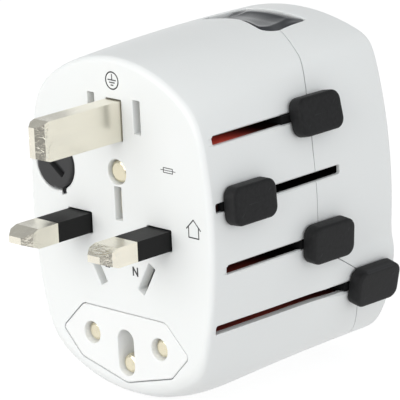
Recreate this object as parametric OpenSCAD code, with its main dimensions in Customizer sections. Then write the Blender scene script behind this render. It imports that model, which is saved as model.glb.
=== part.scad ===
// Universal travel adapter.
// The frame: X across the plug face, Y from the plug face into the body, Z up.
// The origin is on the plug face, midway between the two lower rectangular pins.
// Front is towards -Y, and left is -X.
// The rectangular three-pin plug is out at rest, and the other three plugs are in.

/* [Casing] */
// Half width of the casing at the plug face
half_w = 25.5; // [25.4:0.1:26]
// Depth of the casing from plug face to socket face
depth = 53.5; // [53.5:0.5:56]
// Height of the crown at the plug face
crown_front = 34.6; // [34.4:0.1:35]
// Height of the crown at mid depth
crown_mid = 35.4; // [35.2:0.1:35.8]
// Wall thickness of the casing
wall = 1.9; // [1.8:0.05:2]
// Thickness of the plug face
face_t = 2.2; // [2:0.1:2.3]

/* [Rectangular three-pin plug] */
// Distance between the two lower pins
uk_pitch = 22.22; // [22.2:0.01:22.24]
// Height of the earth pin above the lower pins
uk_earth_h = 22.22; // [22.2:0.01:22.24]
// Length of the earth pin outside the face
uk_earth_len = 21.8; // [21.6:0.1:22.7]
// Length of the lower pins outside the face
uk_pin_len = 17.7; // [17.2:0.1:18]
// Length of the black sleeve outside the face
sleeve_len = 9; // [8.5:0.1:9.5]

/* [Flat-blade plug with round earth] */
// Distance between the vertical blades
us_pitch = 12.7; // [12.6:0.1:12.8]
// Centre height of the vertical blades
us_z = 23.5; // [23.3:0.1:23.6]

/* [Slanted-blade plug] */
// Slant of the two blades from vertical
aus_tilt = 30; // [29:1:31]

/* [Round-pin plug] */
// Distance between the round pins
euro_pitch = 19; // [18.9:0.1:19.1]
// Centre height of the round pins
euro_z = -23; // [-23.1:0.1:-22.9]
// Radius of the round pins
euro_r = 2; // [1.95:0.01:2]

/* [Sliders] */
// Length of a slider knob
knob_l = 12; // [11.4:0.1:12.2]
// Height of a slider knob
knob_h = 7.9; // [7.2:0.1:8]
// Thickness of a slider knob
knob_t = 3.05; // [2.9:0.05:3.2]
// Height of a side slot
slot_h = 1.9; // [1.8:0.05:2]

/* [Hidden] */

// Colours
case_white = [0.95, 0.95, 0.94];
guide_red = [0.36, 0.09, 0.09];
knob_grey = [0.2, 0.2, 0.21];
carriage_black = [0.12, 0.12, 0.13];
sleeve_black = [0.1, 0.1, 0.1];
pin_metal = [0.83, 0.81, 0.75];
block_white = [0.93, 0.93, 0.92];
steel = [0.7, 0.7, 0.7];
brass = [0.75, 0.6, 0.3];
clip_brass = [0.78, 0.62, 0.32];

// Casing
cut = 0.01;           // overlap of a cutter with the face it opens
mid = 27/53;          // middle station, as a share of the depth
front_fillet = 1.3;
rear_fillet = 1.2;
wall_rear = 51.2;     // inner face of the rear wall
guide_x = 18.2;       // inner face of the slider guide
screws = [[-17, 22], [13.5, 26.2], [-18.2, -11], [18.2, -11]]; // x, z
screw_r = 1.25;

// Parting line: a plan outline above part_z and a side outline below it
part_y = 30.15;
part_z = -6.3;
part_top = [ // x, y
  [24.5, part_y], [22.6, 30.9], [19, 33], [15.6, 34.5], [12.4, 36], [9.7, 37.1]];
part_low = [ // y, z
  [41.5, -13.9], [42.2, -17], [43.3, -22.6], [44.6, -26.3], [46, -31]];

// Knob seats: seat x, knob centre y, slider z; leans follow the flank, in degrees
us_seat = [23.8, 30.65, 20.7];
us_lean = 12;
uk_seat = [25.6, 9.65, 7.9];
uk_lean = 3.6;
aus_seat = [25.4, 31.3, -4.9];
aus_lean = -4.2;
euro_seat = [24.3, 45, -17];
euro_lean = -13;
slots = [ // z, front y, rear y
  [us_seat.z, 3.5, 35.2],
  [uk_seat.z, 1.8, 37.3],
  [aus_seat.z, 4.3, 36.8],
  [euro_seat.z, 2.1, 49.4]];
tongue_t = 1.6;       // height of the carriage tongues

// Button
btn_w = 19.8;
btn_front = 33.8;
btn_rear = 46.2;
btn_mid = (btn_front + btn_rear)/2;
btn_tip = [0, 35.45];
btn_half = [ // x, y of the right half, from the front round to the rear
  [2.6, 35], [5.2, 34.3], [7, 33.85], [8, 33.8], [8.75, 34.2], [9.35, 34.95], [9.75, 35.85],
  [9.9, 37], [9.6, 38.6], [9.2, 41], [8.95, 43.4], [8.8, 44.9], [8.4, 45.8], [7.6, 46.2]];

// Plugs: each span is the front and rear y of a carriage
uk_span = [3.4, 8.4];
uk_pin = [6.35, 4];   // width and height of a lower pin
uk_core = [5, 2.8];   // its thinner core inside the sleeve
uk_earth = [4, 8];    // width and height of the earth pin
uk_gap = 0.2;         // play round the pins in the plug face
uk_pin_rear = 7;
blade_h = 6.35;
us_span = [21.4, 25.4];
us_blade_w = 1.5;
us_earth_z = 11.6;
us_earth_r = 2.4;
us_pin_rear = 24;
aus_span = [22.2, 27];
aus_blade_w = 1.6;
aus_x = 6.86;         // centre of a slanted blade
aus_z = -9.06;
aus_earth_z = 5.195;
aus_pin_rear = 26;
euro_span = [40.2, 43];
euro_earth_z = euro_z - 5;
euro_pin_rear = 42;
block_points = [ // x, z corners of the pin block
  [11.6, -17.2], [17.7, -23.2], [12.65, -28.4], [0, -31.65],
  [-12.65, -28.4], [-17.7, -23.2], [-11.6, -17.2]];
block_radii = [2.2, 0.9, 1.7, 2.6, 1.7, 0.9, 2.2];

// Fuse axis and rear socket height
fuse_x = -17.8;
fuse_z = 10.5;
sock_z = -1;

// ---- shared shapes ----
module box(low, high) translate(low) cube(high - low);
// a box centred on (x, z), w across and h high, from y0 to y1
module bar(x, z, w, h, y0, y1) box([x - w/2, y0, z - h/2], [x + w/2, y1, z + h/2]);
module y_cyl(x, z, r, y0, y1)
  translate([x, y0, z]) rotate([-90, 0, 0]) cylinder(r = r, h = y1 - y0, $fn = 48);
// prisms along X (points y, z), Y (points x, z) and Z (points x, y)
module x_prism(points, x0, x1)
  translate([x0, 0, 0]) rotate([90, 0, 90]) linear_extrude(x1 - x0) polygon(points);
module y_prism(points, y0, y1)
  translate([0, y1, 0]) rotate([90, 0, 0]) linear_extrude(y1 - y0) polygon(points);
module z_prism(points, z0, z1) translate([0, 0, z0]) linear_extrude(z1 - z0) polygon(points);
function unit(v) = v/norm(v);
// points mirrored in x and taken in reverse order
function mirrored(points) =
  [for (i = [len(points) - 1:-1:0]) [-points[i].x, points[i].y]];
// a convex outline with an arc of short chords at each corner
function rounded(points, radii) = let(n = len(points), steps = 4) [
  for (i = [0:n - 1]) let(
    radius = radii[i],
    corner = points[i],
    to_last = unit(points[(i + n - 1)%n] - corner),
    to_next = unit(points[(i + 1)%n] - corner),
    half = acos(to_last*to_next)/2,
    centre = corner + unit(to_last + to_next)*radius/sin(half),
    first = corner + to_last*radius/tan(half) - centre,
    final = corner + to_next*radius/tan(half) - centre)
  for (j = [0:steps]) centre + unit(first*(1 - j/steps) + final*j/steps)*radius];
module round_rect(l, h, r) {
  square([l, h - 2*r], center = true);
  square([l - 2*r, h], center = true);
  for (sx = [-1, 1], sy = [-1, 1])
    translate([sx*(l/2 - r), sy*(h/2 - r)]) circle(r = r, $fn = 32);
}
// a closed skin over rings of equal length; flip turns its faces over
module loft(rings, flip = false) {
  n = len(rings[0]);
  last = len(rings) - 1;
  skin_faces = [
    [for (j = [n - 1:-1:0]) j],
    [for (j = [0:n - 1]) last*n + j],
    for (i = [0:last - 1], j = [0:n - 1]) let(here = i*n + j, next = i*n + (j + 1)%n)
      each [[here, next, next + n], [here, next + n, here + n]]];
  polyhedron(points = [for (ring = rings) each ring],
    faces = flip
      ? [for (f = skin_faces) [for (k = [len(f) - 1:-1:0]) f[k]]]
      : skin_faces);
}
// a coil of round wire along its own Z
module coil(r, wire_r, length, turns) {
  per_turn = 14;
  sides = 6;
  n = per_turn*turns;
  loft([for (i = [0:n]) let(a = 360*i/per_turn, z = wire_r + (length - 2*wire_r)*i/n)
    [for (j = [0:sides - 1]) let(b = 360*j/sides, reach = r + wire_r*cos(b))
      [reach*cos(a), reach*sin(a), z + wire_r*sin(b)]]], flip = true);
}
// a round pin with a chamfered tip at y0
module round_pin(x, z, r, y0, y1) translate([x, y0, z]) rotate([-90, 0, 0])
  rotate_extrude($fn = 48) polygon([
    [0, 0], [r - 0.7, 0], [r - 0.25, 0.22], [r, 0.75], [r, y1 - y0], [0, y1 - y0]]);
// an upright blade on the Y axis, w across, with a chamfered tip at y0
module blade(w, y0, y1) {
  h = blade_h;
  end = y1 + 1;
  tip = w/2 - w*0.28;
  intersection() {
    bar(0, 0, w, h, y0, y1);
    x_prism([[y0, -h/2 + 1], [y0 + 1, -h/2], [end, -h/2],
      [end, h/2], [y0 + 1, h/2], [y0, h/2 - 1]], -w, w);
    z_prism([[-tip, y0], [tip, y0], [w/2, y0 + 1.2],
      [w/2, end], [-w/2, end], [-w/2, y0 + 1.2]], -h, h);
  }
}
// a rectangular pin of size [w, h] with a bevelled tip at y0
// flats: bevel above and below, sides: bevel at the sides, each [length along Y, depth]
module big_pin(x, z, size, y0, y1, flats, sides) {
  w = size[0];
  h = size[1];
  translate([x, 0, z]) intersection() {
    x_prism([[y0, -h/2 + flats[1]], [y0 + flats[0], -h/2], [y1, -h/2],
      [y1, h/2], [y0 + flats[0], h/2], [y0, h/2 - flats[1]]], -w, w);
    z_prism([[-w/2 + sides[1], y0], [w/2 - sides[1], y0], [w/2, y0 + sides[0]],
      [w/2, y1], [-w/2, y1], [-w/2, y0 + sides[0]]], -h, h);
  }
}

// ---- the casing's section law ----
// a quadratic in t through its front (0), middle (mid) and rear (1) values
function law(front, middle, rear, t) = front*(t - mid)*(t - 1)/mid
  + middle*t*(t - 1)/(mid*(mid - 1)) + rear*t*(t - mid)/(1 - mid);
// distance from the axis along dir to a circle
function reach(centre, radius, dir) = let(along = centre*dir)
  along + sqrt(max(along*along - centre*centre + radius*radius, 0.000001));
// a minimum that rounds the corner where a and b meet
function soft_min(a, b) = let(m = min(a, b), p = 34) m*pow(pow(a/m, -p) + pow(b/m, -p), -1/p);
function fillet(r, gap) = r - sqrt(max(0, pow(r, 2) - pow(r - gap, 2)));
function inset(y) = y < front_fillet ? fillet(front_fillet, y)
  : y > depth - rear_fillet ? fillet(rear_fillet, depth - y) : 0;
function section_r(a, y) = let(
  t = y/depth,
  flank_x = law(half_w, half_w - 0.3, half_w - 1.3, t),
  flank_r = 94.4,
  crown = law(crown_front, crown_mid, crown_front + 0.3, t),
  crown_r = 31.3 + 18.5*t,
  chin = exp(-y/3), // lifts and tightens the bottom near the face
  bottom = law(-36.3, -34.5, -33.8, t) + 3.6*chin,
  bottom_r = 38.5 - 6.4*chin,
  dir = [abs(cos(a)), sin(a)])
  soft_min(reach([flank_x - flank_r, 1.9], flank_r, dir), dir.y > 0
    ? reach([0, crown - crown_r], crown_r, dir)
    : reach([0, bottom + bottom_r], bottom_r, dir));
// the rear flanks swell outwards at the height of the lowest slider
function ramp(u) = 1/(1 + exp(-u));
function swell(a, y, z) = abs(cos(a)) > 0.3
  ? sign(cos(a))*1.33*ramp((y - 34)/2)*ramp(-z - 10.5)*ramp((z + 25)/2) : 0;
function ring(n, y, off) = [for (i = [0:n - 1])
  let(a = 360*i/n, r = section_r(a, y) - inset(y) - off, z = r*sin(a))
  [r*cos(a) + swell(a, y, z), y, z]];
// the casing form through stations ys, drawn in by off
module skin(n, ys, off) loft([for (y = ys) ring(n, y, off)]);

// ---- casing ----
module shell() difference() {
  skin(64, [0, 0.12, 0.5, front_fillet, 3.5, 7, 12, 18, 24, 30, 34, 38, 44,
    depth - rear_fillet, depth - 0.5, depth - 0.12, depth], 0);
  skin(48, [face_t, 6, 12, 24, 34, 42, wall_rear], wall);
}
// everything in front of the parting line
module front_zone() {
  z_prism([[-60, -5], [60, -5], [60, part_y], each part_top,
    each mirrored(part_top), [-60, part_y]], part_z, part_z + 60);
  x_prism([[-5, 0], [part_y, 0], [part_y, part_z], each part_low,
    [46.3, -60], [-5, -60]], -60, 60);
}
module side_slots() for (s = slots)
  box([20.4, s[1], s[0] - slot_h/2], [32, s[2], s[0] + slot_h/2]);
// the button's outline, scaled about its middle in X and Y
function btn_outline(kx, ky) = [for (p = [btn_tip, each btn_half, each mirrored(btn_half)])
  [p.x*kx, btn_mid + (p.y - btn_mid)*ky]];
module button_opening() z_prism(btn_outline(1, 1), 28, 48);
// corners moved out from the middle of the pin block
module block_channel() {
  middle = [0, -24];
  grown = [for (p = block_points) p + 0.18*unit(p - middle)];
  y_prism(rounded(grown, block_radii), -1, 20);
}
module at_aus(side) translate([side*aus_x, 0, aus_z]) rotate([0, side*aus_tilt, 0]) children();
module at_fuse(turn) translate([fuse_x, 0, fuse_z]) rotate([0, turn, 0]) children();
module fuse_cyl(r, y0, y1) y_cyl(fuse_x, fuse_z, r, y0, y1);
module face_apertures() {
  bar(0, uk_earth_h, uk_earth[0] + 2*uk_gap, uk_earth[1] + 2*uk_gap, -1, 4);
  for (s = [-1, 1]) {
    bar(s*uk_pitch/2, 0, uk_pin[0] + 2*uk_gap, uk_pin[1] + 2*uk_gap, -1, 4);
    bar(s*us_pitch/2, us_z, 1.9, 6.8, -1, 4);
    at_aus(s) bar(0, 0, 1.9, 6.7, -1, 4);
  }
  y_cyl(0, us_earth_z, us_earth_r + 0.12, -1, 4);
  box([-1, -1, 1.75], [1, 4, 8.62]);
}
module front_casing() color(case_white) difference() {
  union() {
    intersection() { shell(); front_zone(); }
    for (p = screws) difference() {
      y_cyl(p[0], p[1], 2.6, 1.5, 36);
      y_cyl(p[0], p[1], screw_r, 22, 37);
    }
    for (s = [-1, 1]) at_aus(s) bar(0, 0, 4.6, 8.8, 2, 2.6);
  }
  face_apertures();
  side_slots();
  button_opening();
  block_channel();
  fuse_cyl(5.25, -1, face_t + cut);
  at_fuse(67) box([4.8, -1, -0.75], [6.25, face_t + cut, 0.75]);
}
module socket_opening(side) {
  bar(side*uk_pitch/2, sock_z, 7, 4.6, 45, 60);
  y_cyl(side*9.5, sock_z, 2.6, 45, 60);
  bar(side*6.6, sock_z, 2.8, 7.2, 45, 60);
}
module rear_cap() color(case_white) difference() {
  union() {
    difference() { shell(); front_zone(); }
    for (p = screws) y_cyl(p[0], p[1], 3.1, 38.5, wall_rear + 1);
    box([-4, 44, -15.7], [4, wall_rear + 0.5, -14.6]);
  }
  side_slots();
  button_opening();
  for (s = [-1, 1]) socket_opening(s);
  box([-2.3, 45, sock_z + 18], [2.3, 60, sock_z + 26.6]);
  y_cyl(0, sock_z + 11.9, 2.7, 45, 60);
  for (p = screws) {
    y_cyl(p[0], p[1], 1.5, 30, 60);
    y_cyl(p[0], p[1], 2.5, 50.4, 60);
  }
}
// a slotted block against the right flank; the lowest slot runs out at its rear
module slider_guide() color(guide_red) intersection() {
  difference() {
    box([guide_x, face_t + 0.15, -20.5], [26, 38.2, 25]);
    for (s = slots)
      box([15, max(3.25, s[1] - 0.1), s[0] - 1.02],
        [32, s[2] > 40 ? 60 : s[2] + 0.1, s[0] + 1.02]);
    y_cyl(screws[3][0], screws[3][1], 2.75, 0, 40);
  }
  skin(48, [2.3, 12, 24, 34, 40], wall + 0.25);
}

// ---- slider knobs and carriage parts ----
// the key of a tongue, from back inside the seat into the knob
module key(seat, back) translate([seat.x, 0, 0])
  box([-back, seat.y - 4, seat.z - tongue_t/2], [1.2, seat.y + 4, seat.z + tongue_t/2]);
module knob(seat, lean, drop = 0) {
  edge = 0.45;
  corner = 2.2;
  color(knob_grey) difference() {
    translate([seat.x + drop*sin(lean), seat.y, seat.z - drop*cos(lean)])
      rotate([0, -lean, 0]) rotate([90, 0, 90]) hull() {
        linear_extrude(knob_t - edge) round_rect(knob_l, knob_h, corner);
        linear_extrude(knob_t) round_rect(knob_l - 2*edge, knob_h - 2*edge, corner - edge);
      }
    key(seat, 1);
  }
}
// an arm from x0 to the slider guide, then a tongue out to the knob
module arm(seat, x0, span, tongue_span) {
  z0 = seat.z - tongue_t/2;
  z1 = seat.z + tongue_t/2;
  box([x0, span[0], z0], [18, span[1], z1]);
  box([17, tongue_span[0], z0], [seat.x - 0.25, tongue_span[1], z1]);
  key(seat, 0.5);
}
// plates across a span; each row is x0, x1, z0, z1
module plates(span, rows) for (p = rows) box([p[0], span[0], p[2]], [p[1], span[1], p[3]]);
module uk_knob() knob(uk_seat, uk_lean);
module us_knob() knob(us_seat, us_lean, drop = 0.25);
module aus_knob() knob(aus_seat, aus_lean);
module euro_knob() knob(euro_seat, euro_lean);

// ---- rectangular three-pin plug ----
module strap() box([-11, 4, 8.5], [11, 7.8, 9]);
module uk_pocket(side) bar(side*uk_pitch/2, 0, uk_core[0], uk_core[1], 2, uk_pin_rear);
module uk_carriage() color(carriage_black) difference() {
  plates(uk_span, [
    [-3.4, 3.4, 17.4, 29.2],
    [-12, 3.4, 27.4, 29.2],
    [-12, -9, -3, 29.2],
    [-15.2, -7, -3, 3]]);
  bar(0, uk_earth_h, uk_earth[0], uk_earth[1], 2, uk_pin_rear);
  uk_pocket(-1);
  strap();
}
module uk_carriage_arm() color(carriage_black) difference() {
  union() {
    plates(uk_span, [[7, 15.2, -3, 3], [9, 12, -3, 9.8]]);
    arm(uk_seat, 9, uk_span, [uk_span[0], 12]);
  }
  uk_pocket(1);
  strap();
}
module uk_bridge_strap() color(steel) strap();
module uk_earth_pin() color(pin_metal) big_pin(0, uk_earth_h, uk_earth,
  -uk_earth_len, uk_pin_rear, flats = [2.7, 0.95], sides = [1.6, 1.2]);
module lower_pin(side) color(pin_metal) {
  x = side*uk_pitch/2;
  big_pin(x, 0, uk_pin, -uk_pin_len, -sleeve_len, flats = [3.5, 1.3], sides = [1.9, 1.5]);
  bar(x, 0, uk_core[0], uk_core[1], -sleeve_len - 0.5, uk_pin_rear);
}
module lower_sleeve(side) color(sleeve_black) difference() {
  bar(side*uk_pitch/2, 0, uk_pin[0], uk_pin[1], -sleeve_len, 3.3);
  bar(side*uk_pitch/2, 0, uk_core[0], uk_core[1], -sleeve_len - 1, 4);
}
module uk_live_pin() lower_pin(-1);
module uk_neutral_pin() lower_pin(1);
module uk_live_sleeve() lower_sleeve(-1);
module uk_neutral_sleeve() lower_sleeve(1);

// ---- flat-blade plug with round earth ----
module us_carriage() color(carriage_black) difference() {
  union() {
    plates(us_span, [
      [-8, -4.5, 14.5, 27],
      [4.5, 8, 14.5, 27],
      [-8, 8, 13.5, 16.5],
      [-3.4, 3.4, 9.9, 16.5]]);
    arm(us_seat, 6, us_span, [22.5, 35]);
  }
  for (s = [-1, 1]) bar(s*us_pitch/2, us_z, us_blade_w, blade_h, 20, us_pin_rear);
  y_cyl(0, us_earth_z, us_earth_r, 20, us_pin_rear);
}
module us_blade(side) color(pin_metal)
  translate([side*us_pitch/2, 0, us_z]) blade(us_blade_w, 2.5, us_pin_rear);
module us_blade_left() us_blade(-1);
module us_blade_right() us_blade(1);
module us_earth_pin() color(pin_metal) round_pin(0, us_earth_z, us_earth_r, 0.6, us_pin_rear);

// ---- slanted-blade plug ----
module aus_carriage() color(carriage_black) difference() {
  union() {
    plates(aus_span, [[-2.6, 2.6, -9, 4.5], [-10.5, 10.5, -13.3, -4.2]]);
    arm(aus_seat, 9, aus_span, [25, 36.5]);
  }
  box([-aus_blade_w/2, 20, aus_earth_z - blade_h/2], [aus_blade_w/2, aus_pin_rear, 5]);
  for (s = [-1, 1]) at_aus(s) bar(0, 0, aus_blade_w, blade_h, 20, aus_pin_rear);
}
module aus_blade(side) color(pin_metal) at_aus(side) blade(aus_blade_w, 2.44, aus_pin_rear);
module aus_blade_left() aus_blade(-1);
module aus_blade_right() aus_blade(1);
module aus_earth_blade() color(pin_metal)
  translate([0, 0, aus_earth_z]) blade(aus_blade_w, 1.2, aus_pin_rear);

// ---- round-pin plug ----
// an upright slot from the pins' height down to the earth pin
module earth_slot(r, y0, y1) {
  y_cyl(0, euro_z, r, y0, y1);
  y_cyl(0, euro_earth_z, r, y0, y1);
  box([-r, y0, euro_earth_z], [r, y1, euro_z]);
}
module euro_block() color(block_white) difference() {
  union() {
    y_prism(rounded(block_points, block_radii), 0, 19);
    box([-8, 16.6, -17.6], [8, 19, -16.3]);
  }
  for (s = [-1, 1]) y_cyl(s*euro_pitch/2, euro_z, euro_r + 0.2, -1, 20);
  earth_slot(euro_r + 0.2, -1, 20);
}
module euro_carriage() color(carriage_black) difference() {
  union() {
    half = [[11, -16.2], [16.2, -22.5], [11.5, -27.2], [4, -29.9]]; // x, z
    y_prism([each half, each mirrored(half)], euro_span[0], euro_span[1]);
    arm(euro_seat, 9, euro_span, [38.2, 49]);
  }
  for (s = [-1, 1]) y_cyl(s*euro_pitch/2, euro_z, euro_r, 39, euro_pin_rear);
  earth_slot(euro_r + 0.15, 39, 44);
}
module euro_pin(side) color(pin_metal)
  round_pin(side*euro_pitch/2, euro_z, euro_r, 1, euro_pin_rear);
module euro_pin_left() euro_pin(-1);
module euro_pin_right() euro_pin(1);
module euro_earth_pin() color(pin_metal) round_pin(0, euro_earth_z, euro_r, 1, 45);
module euro_earth_slide() color(carriage_black) difference() {
  box([-4, 43.2, euro_z - 7.1], [4, 45.6, euro_z - 2.6]);
  y_cyl(0, euro_earth_z, euro_r, 43, 45);
}

// ---- fuse ----
tube_r = 2.3;
fuse_cap_r = 2.6;
module fuse_cap() color([0.28, 0.28, 0.3]) difference() {
  union() {
    fuse_cyl(5.05, -0.15, 2.1);
    fuse_cyl(4.3, 2, 9.2);
    // side lugs
    for (s = [-1, 1]) intersection() {
      fuse_cyl(4.8, 7.9, 9.2);
      bar(fuse_x + s*4.3, fuse_z, 2.2, 2, 7, 10);
    }
  }
  at_fuse(36) bar(0, 0, 6.2, 1.6, -1, 1.1);
  fuse_cyl(2.65, 4, 10);
}
module fuse_holder() color([0.15, 0.15, 0.16]) difference() {
  union() {
    fuse_cyl(5.2, face_t + 0.02, 29);
    at_fuse(67) {
      box([5.15, 0.35, -0.66], [6.15, 3.2, 0.66]);
      box([4.6, 2.3, -0.66], [6.15, 3.2, 0.66]);
    }
  }
  fuse_cyl(4.45, 2, 28);
  fuse_cyl(4.95, 7.7, 9.4); // groove round the cap's lugs
  box([fuse_x - 6, 12, fuse_z - 6], [fuse_x - 4.8, 30, fuse_z + 6]);
  bar(fuse_x, fuse_z, 2.6, 2.2, 27, 30);
  at_fuse(45) intersection() {
    y_cyl(0, 0, 4.95, 2, 9);
    bar(0, 0, 12, 2.6, 2, 9);
  }
}
module fuse_tube() color([0.9, 0.89, 0.85]) difference() {
  fuse_cyl(tube_r, 5, 23.4);
  fuse_cyl(1.5, 4, 25);
}
module fuse_end_caps() color([0.8, 0.8, 0.78])
  // front and rear y of the cap, then of its bore
  for (p = [[4.2, 9, 5, 10], [18.8, 24.2, 18, 23.4]]) difference() {
    fuse_cyl(fuse_cap_r, p[0], p[1]);
    fuse_cyl(tube_r, p[2], p[3]);
  }
module fuse_contact() color(brass) {
  fuse_cyl(4.3, 27.4, 28);
  bar(fuse_x, fuse_z, 2.4, 2, 28, 34);
}
module fuse_spring() color(steel)
  translate([fuse_x, 24.2, fuse_z]) rotate([-90, 0, 0]) coil(1.9, 0.3, 3.2, 3);

// ---- release button ----
// an outline cut off by a crown of radius r
module btn_layer(kx, ky, r) intersection() {
  z_prism(btn_outline(kx, ky), 31.4, 41.4);
  y_cyl(0, -12.2, r, 30, 50);
}
module release_button() color([0.08, 0.09, 0.12]) {
  btn_layer(0.975, 0.955, 46.2);
  btn_layer(0.72, 0.78, 46.8);
  translate([0, btn_mid - 0.2, 31])
    linear_extrude(0.9) round_rect(btn_w + 0.6, btn_rear - btn_front + 0.8, 2);
}
module latch_bar() color([0.65, 0.65, 0.66]) {
  box([-8, 34.6, 29.9], [8, 38, 31]);
  for (s = [-1, 1]) box([s*7 - 1, 34.6, 27.8], [s*7 + 1, 36, 30]);
}
module release_spring() color(steel) translate([0, 43, 27.02]) coil(2.4, 0.35, 3.95, 3);

// ---- current rails ----
module live_rail() color(brass) {
  box([-20.4, 6, -4], [-19.6, 42, 4]);
  box([-20.4, 41, -1.5], [-15.6, 42, 1.5]);
}
module neutral_rail() color(brass) {
  box([16.2, 6, -2.8], [17, 42, 5.4]);
  box([15.6, 41, -1.5], [17, 42, 1.5]);
}
module earth_rail() color(brass) {
  box([13, 10, 11], [13.8, 42, 19]);
  box([5.1, 41, 13], [13.8, 42, 17]);
}

// ---- rear socket ----
module socket_frame() color([0.16, 0.16, 0.17]) difference() {
  union() {
    box([-15.5, 39, sock_z - 5], [15.5, 49.7, sock_z + 8]);
    box([-5, 39, sock_z + 7], [5, 49.7, 27]);
  }
  for (s = [-1, 1]) {
    bar(s*10, sock_z, 9.6, 8, 41.5, 52);
    bar(s*15.6, 0, 1.6, 3.2, 40.9, 42.1);
  }
  box([-3.2, 43, sock_z - 6], [3.2, 52, sock_z + 3.4]);
  box([-3.4, 41.5, sock_z + 9.6], [3.4, 52, 26]);
}
// a folded strip with two leaves that grip a blade, w across and centred on x
module clip(x, w, z0, z1) color(clip_brass) {
  leaf_t = 0.4;
  x0 = x - w/2;
  x1 = x + w/2;
  box([x0, 42, z0], [x0 + leaf_t, 49, z1]);
  box([x1 - leaf_t, 42, z0], [x1, 49, z1]);
  box([x0, 41.6, z0], [x1, 42.2, z1]);
}
module socket_contact_live() clip(-10, 9.4, sock_z - 3.9, sock_z + 3.9);
module socket_contact_neutral() clip(10, 9.4, sock_z - 3.9, sock_z + 3.9);
module socket_contact_earth() clip(0, 6.6, sock_z + 9.8, 25.8);
module socket_shutter() color([0.85, 0.85, 0.84]) {
  box([-14.95, 49.9, sock_z - 4.3], [14.95, 51, sock_z + 3.8]);
  box([-2.4, 44, sock_z + 1.6], [2.4, 50.4, sock_z + 2.8]);
}
module shutter_spring() color(steel) translate([0, 46.5, -14.58]) coil(1.8, 0.3, 15.1, 6);
module case_screws() color([0.6, 0.6, 0.62]) for (p = screws) difference() {
  union() {
    y_cyl(p[0], p[1], screw_r, 26, 51);
    y_cyl(p[0], p[1], 2.3, 50.45, 52.2);
  }
  bar(p[0], p[1], 3.2, 0.6, 51.3, 53);
  bar(p[0], p[1], 0.6, 3.2, 51.3, 53);
}

front_casing();
rear_cap();
slider_guide();
uk_knob();
uk_carriage();
uk_carriage_arm();
uk_bridge_strap();
uk_earth_pin();
uk_live_pin();
uk_neutral_pin();
uk_live_sleeve();
uk_neutral_sleeve();
us_knob();
us_carriage();
us_blade_left();
us_blade_right();
us_earth_pin();
aus_knob();
aus_carriage();
aus_blade_left();
aus_blade_right();
aus_earth_blade();
euro_knob();
euro_carriage();
euro_pin_left();
euro_pin_right();
euro_block();
euro_earth_pin();
euro_earth_slide();
fuse_cap();
fuse_holder();
fuse_tube();
fuse_end_caps();
fuse_spring();
fuse_contact();
release_button();
latch_bar();
release_spring();
live_rail();
neutral_rail();
earth_rail();
socket_frame();
socket_contact_live();
socket_contact_neutral();
socket_contact_earth();
socket_shutter();
shutter_spring();
case_screws();
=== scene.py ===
"""A travel adapter: a white two-part casing with sliding UK, US, Australian and Euro plugs.

x runs across the plug, y from the plug face (front, y = 0) to the rear face, z up.
The slider knobs are on the +x flank and the release button is on top.
Shapes are in millimetres and become metres in the meshes. Shader positions are in metres.
"""
import bpy, bmesh, math
from mathutils import Vector, Matrix


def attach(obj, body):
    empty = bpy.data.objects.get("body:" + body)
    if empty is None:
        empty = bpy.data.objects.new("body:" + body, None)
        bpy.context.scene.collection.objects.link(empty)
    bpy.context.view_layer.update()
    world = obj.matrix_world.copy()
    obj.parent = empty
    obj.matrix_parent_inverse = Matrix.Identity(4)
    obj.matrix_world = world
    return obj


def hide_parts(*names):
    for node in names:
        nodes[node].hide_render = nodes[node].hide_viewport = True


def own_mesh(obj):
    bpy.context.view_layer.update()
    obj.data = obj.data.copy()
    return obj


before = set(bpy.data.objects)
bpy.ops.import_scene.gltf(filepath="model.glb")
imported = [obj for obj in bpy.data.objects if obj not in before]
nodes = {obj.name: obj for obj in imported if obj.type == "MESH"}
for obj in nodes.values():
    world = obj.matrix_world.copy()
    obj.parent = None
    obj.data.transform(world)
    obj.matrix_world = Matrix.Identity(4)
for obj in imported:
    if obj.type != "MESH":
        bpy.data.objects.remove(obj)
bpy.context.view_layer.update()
scene = bpy.context.scene
MM = 0.001

# ---------------------------------------------------------------- driving sizes (mm)
HALF_W, DEPTH, WALL = 25.5, 53.5, 1.9
CROWN_FRONT, CROWN_MID = 34.6, 35.4     # height of the crown at the front and half way
MID = 27 / 53                           # share of the depth where the middle section lies
FRONT_FILLET, REAR_FILLET = 1.3, 1.2

# slots in the +x flank: (z, front end y, rear end y)
SIDE_SLOTS = {
    "us": (20.7, 3.5, 35.2),
    "uk": (7.9, 1.8, 37.3),
    "aus": (-4.9, 4.3, 36.8),
    "euro": (-17.0, 2.1, 49.4),
}
SCREWS = [(-17, 22), (13.5, 26.2), (-18.2, -11), (18.2, -11)]   # (x, z)
FUSE_X, FUSE_Z = -17.8, 10.5
AUS_X, AUS_Z, AUS_TURN = 6.86, -9.06, 30    # slanted blade holes, mirrored in x
EURO_X, EURO_Z = 9.5, -23                   # round holes of the pin block, mirrored in x

# parting line between front casing and rear cap
PART_Y, PART_Z = 30.15, -6.3
PART_TOP = [(24.5, PART_Y), (22.6, 30.9), (19, 33), (15.6, 34.5), (12.4, 36), (9.7, 37.1)]  # (x, y)
PART_LOW = [(PART_Z, PART_Y), (-13.9, 41.5), (-17, 42.2), (-22.6, 43.3), (-26.3, 44.6),
            (-31, 46), (-60, 46.3)]     # (z, y)

# pin block outline, clockwise from above right: (x, z), corner radius
BLOCK_CORNERS = [
    ((11.6, -17.2), 2.2), ((17.7, -23.2), 0.9), ((12.65, -28.4), 1.7), ((0, -31.65), 2.6),
    ((-12.65, -28.4), 1.7), ((-17.7, -23.2), 0.9), ((-11.6, -17.2), 2.2),
]
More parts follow.
